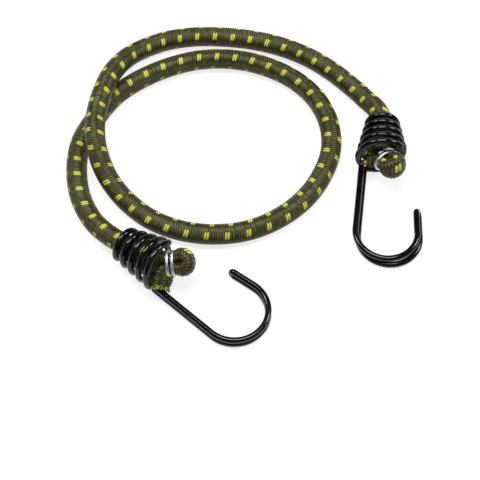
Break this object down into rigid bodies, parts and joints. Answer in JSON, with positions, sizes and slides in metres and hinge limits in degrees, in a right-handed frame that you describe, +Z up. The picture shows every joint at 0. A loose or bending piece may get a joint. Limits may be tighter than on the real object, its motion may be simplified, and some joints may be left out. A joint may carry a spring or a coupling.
{
  "type": "bungee cord",
  "caption": "Braided elastic cord laid in a loose loop, with a coiled black wire hook swivelling on each end and the cord's folded ends clamped by steel rings.",
  "frame": {"origin": "on the surface that the cord lies on, midway between the outer limits of the two hooks", "axes": "+Z up from the surface; +X from the left hook towards the right hook; +Y away from the viewer, towards the far side of the loop"},
  "size_m": [0.1482, 0.1563, 0.0223],
  "materials": {
    "braid": "olive braid with lime flecks",
    "rubber_core": "plain latex strands",
    "black_wire": "glossy black dipped coating",
    "ring_steel": "bright zinc-plated wire"
  },
  "bodies": {
    "cord": {"cord_sheath": "braid", "rubber_strand_1": "rubber_core", "rubber_strand_2": "rubber_core", "rubber_strand_3": "rubber_core", "rubber_strand_4": "rubber_core", "rubber_strand_5": "rubber_core", "rubber_strand_6": "rubber_core", "rubber_strand_7": "rubber_core", "left_cord_fold": "braid", "right_cord_fold": "braid", "left_hog_ring": "ring_steel", "right_hog_ring": "ring_steel"},
    "left_hook": {"left_hook": "black_wire"},
    "right_hook": {"right_hook": "black_wire"}
  },
  "joints": [
    {"name": "left_swivel", "type": "hinge", "parent": "cord", "child": "left_hook", "pos_m": [-0.06017, -0.00765, 0.0072], "axis": [0.7851, -0.5916, 0.1836], "range_deg": [-90, 90]},
    {"name": "right_swivel", "type": "hinge", "parent": "cord", "child": "right_hook", "pos_m": [0.04863, 0.05195, 0.0072], "axis": [-0.0771, -0.98, 0.1836], "range_deg": [-90, 90]}
  ]
}
